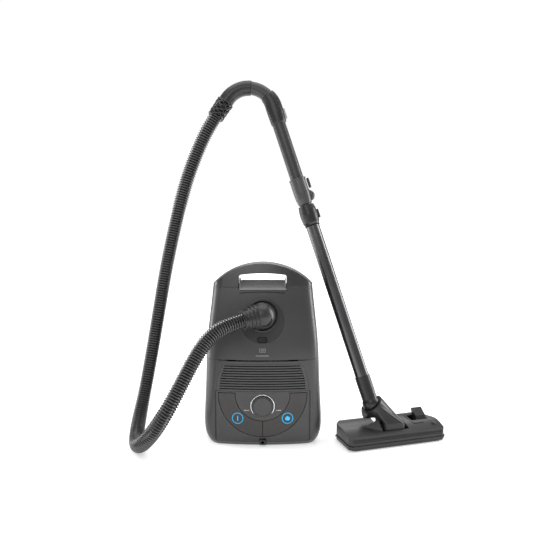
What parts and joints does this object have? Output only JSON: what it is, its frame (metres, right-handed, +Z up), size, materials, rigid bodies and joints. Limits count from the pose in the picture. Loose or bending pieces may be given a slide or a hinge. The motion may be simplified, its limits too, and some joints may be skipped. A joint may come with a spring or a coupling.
{
  "type": "canister vacuum cleaner",
  "caption": "upright-parked bagged canister cleaner with dust lid, two foot pedals, power dial, swivel hose, bent handle, telescopic wand and pivoting floor head",
  "frame": {"origin": "middle of the flat standing base, on the floor", "axes": "+Z up through the carry handle, -Y the front with the pedals and the hose inlet, +X the side the wand leans down to"},
  "size_m": [0.7998, 0.4007, 0.9063],
  "materials": {
    "casing": "satin charcoal",
    "casing_light": "satin mid grey",
    "black_plastic": "fine black texture",
    "grey_plastic": "satin light grey",
    "pedal": "semi-gloss brown-black",
    "dial": "soft-touch grey",
    "bright_trim": "polished",
    "window": "smoked clear",
    "flag": "plain red",
    "steel": "bright drawn",
    "rubber": "matt black",
    "hose": "matt black ribbed",
    "bristle": "stiff black bristle",
    "paper": "unbleached paper",
    "filter": "white fleece",
    "board": "green solder mask",
    "wheel": "matt grey"
  },
  "bodies": {
    "canister": {"body_shell": "casing", "base_bumper": "casing_light", "cord_outlet": "black_plastic", "carry_handle": "casing", "front_panel": "casing", "exhaust_grille": "casing", "exhaust_filter": "filter", "hinge_pins": "steel", "control_frame": "black_plastic", "dial_plate": "casing", "dial_ring": "bright_trim", "control_board": "board", "bulkhead": "black_plastic", "motor_filter": "filter", "motor_housing": "grey_plastic", "motor_seal": "rubber", "motor_stand": "black_plastic", "reel_axle": "black_plastic", "dust_bag": "paper", "bag_holder": "black_plastic", "wheel_axles": "steel", "caster_cup": "black_plastic", "hose": "hose", "hose_cuff": "black_plastic", "strain_relief": "rubber"},
    "lid": {"dust_lid": "casing", "inlet_plate": "casing", "bag_full_window": "window"},
    "latch": {"lid_latch": "grey_plastic"},
    "elbow": {"hose_elbow": "black_plastic"},
    "flag": {"bag_full_flag": "flag"},
    "power_switch": {"power_pedal": "pedal"},
    "rewind_switch": {"rewind_pedal": "pedal"},
    "dial": {"power_dial": "dial"},
    "left_wheel": {"rear_wheel_left": "wheel"},
    "right_wheel": {"rear_wheel_right": "wheel"},
    "caster": {"caster_fork": "grey_plastic"},
    "caster_roller": {"caster_wheel": "wheel"},
    "rotor": {"motor_rotor": "steel"},
    "reel": {"cord_reel": "grey_plastic"},
    "handle": {"handle_pipe": "casing", "handle_grip": "rubber", "wand_collar": "casing", "inner_tube": "black_plastic"},
    "air_valve": {"air_slider": "grey_plastic"},
    "release": {"release_button": "black_plastic"},
    "lower_wand": {"outer_tube": "steel", "telescopic_sleeve": "black_plastic", "neck_elbow": "black_plastic"},
    "sleeve_lock": {"telescope_slider": "black_plastic"},
    "yoke": {"neck_yoke": "casing_light"},
    "head": {"head_cover": "casing", "head_base": "black_plastic", "sole_plate": "steel", "head_bumper": "rubber", "head_pins": "steel"},
    "surface_pedal": {"floor_pedal": "black_plastic"},
    "brushes": {"brush_strips": "bristle"},
    "left_roller": {"head_wheel_left": "wheel"},
    "right_roller": {"head_wheel_right": "wheel"}
  },
  "joints": [
    {"name": "lid_hinge", "type": "hinge", "parent": "canister", "child": "lid", "pos_m": [0, -0.103, 0.22], "axis": [1, 0, 0], "range_deg": [0, 38], "deforming": ["hose"]},
    {"name": "latch_press", "type": "hinge", "parent": "lid", "child": "latch", "pos_m": [0, -0.06, 0.388], "axis": [-1, 0, 0], "range_deg": [0, 6], "stiffness_Nm_per_rad": 0.4},
    {"name": "elbow_swivel", "type": "hinge", "parent": "lid", "child": "elbow", "pos_m": [0, -0.0952, 0.327], "axis": [0, -0.9744, 0.225], "continuous": true, "deforming": ["hose"]},
    {"name": "flag_travel", "type": "slide", "parent": "lid", "child": "flag", "axis": [1, 0, 0], "range_m": [0, 0.01]},
    {"name": "power_press", "type": "hinge", "parent": "canister", "child": "power_switch", "pos_m": [0, -0.101, 0.133], "axis": [1, 0, 0], "range_deg": [0, 4], "stiffness_Nm_per_rad": 0.8},
    {"name": "rewind_press", "type": "hinge", "parent": "canister", "child": "rewind_switch", "pos_m": [0, -0.101, 0.133], "axis": [1, 0, 0], "range_deg": [0, 4], "stiffness_Nm_per_rad": 0.8},
    {"name": "dial_turn", "type": "hinge", "parent": "canister", "child": "dial", "pos_m": [0, -0.12, 0.1045], "axis": [0, -1, 0], "range_deg": [-135, 135]},
    {"name": "left_wheel_spin", "type": "hinge", "parent": "canister", "child": "left_wheel", "pos_m": [-0.118, 0.078, 0.062], "axis": [1, 0, 0], "continuous": true},
    {"name": "right_wheel_spin", "type": "hinge", "parent": "canister", "child": "right_wheel", "pos_m": [0.118, 0.078, 0.062], "axis": [1, 0, 0], "continuous": true},
    {"name": "caster_swivel", "type": "hinge", "parent": "canister", "child": "caster", "pos_m": [0, 0.083, 0.318], "axis": [0, 1, 0], "continuous": true},
    {"name": "caster_spin", "type": "hinge", "parent": "caster", "child": "caster_roller", "pos_m": [0, 0.1035, 0.309], "axis": [1, 0, 0], "continuous": true},
    {"name": "fan_spin", "type": "hinge", "parent": "canister", "child": "rotor", "pos_m": [-0.042, 0.005, 0.14], "axis": [0, 0, 1], "continuous": true},
    {"name": "reel_spin", "type": "hinge", "parent": "canister", "child": "reel", "pos_m": [0.07, 0, 0.092], "axis": [1, 0, 0], "continuous": true},
    {"name": "cuff_swivel", "type": "hinge", "parent": "canister", "child": "handle", "pos_m": [-0.03166, 0.10934, 0.88631], "axis": [-0.9946, 0.023, 0.1014], "continuous": true, "deforming": ["hose"]},
    {"name": "air_slide", "type": "slide", "parent": "handle", "child": "air_valve", "axis": [0.3096, -0.2101, -0.9274], "range_m": [0, 0.014]},
    {"name": "release_press", "type": "slide", "parent": "handle", "child": "release", "axis": [-0.9509, -0.0684, -0.3019], "range_m": [0, 0.0025], "stiffness_N_per_m": 300},
    {"name": "telescope", "type": "slide", "parent": "handle", "child": "lower_wand", "axis": [0.3096, -0.2101, -0.9274], "range_m": [0, 0.35]},
    {"name": "sleeve_slide", "type": "slide", "parent": "lower_wand", "child": "sleeve_lock", "axis": [-0.3096, 0.2101, 0.9274], "range_m": [0, 0.008], "stiffness_N_per_m": 200},
    {"name": "neck_swivel", "type": "hinge", "parent": "lower_wand", "child": "yoke", "pos_m": [0.27315, -0.06956, 0.09662], "axis": [-0.591, -0.1795, 0.7865], "range_deg": [-45, 45]},
    {"name": "head_tilt", "type": "hinge", "parent": "yoke", "child": "head", "pos_m": [0.32019, -0.05527, 0.034], "axis": [0.9511, 0.309, 0], "range_deg": [-12, 18]},
    {"name": "floor_pedal_press", "type": "hinge", "parent": "head", "child": "surface_pedal", "pos_m": [0.40489, -0.02144, 0.034], "axis": [0.9511, 0.309, 0], "range_deg": [-12, 0]},
    {"name": "brush_travel", "type": "slide", "parent": "head", "child": "brushes", "axis": [0, 0, 1], "range_m": [0, 0.005]},
    {"name": "left_roller_spin", "type": "hinge", "parent": "head", "child": "left_roller", "pos_m": [0.23438, -0.05003, 0.008], "axis": [0.9511, 0.309, 0], "continuous": true},
    {"name": "right_roller_spin", "type": "hinge", "parent": "head", "child": "right_roller", "pos_m": [0.36752, -0.00677, 0.008], "axis": [0.9511, 0.309, 0], "continuous": true}
  ],
  "couplings": [
    {"joint": "brush_travel", "follows": "floor_pedal_press", "m_per_rad": -0.0238}
  ]
}
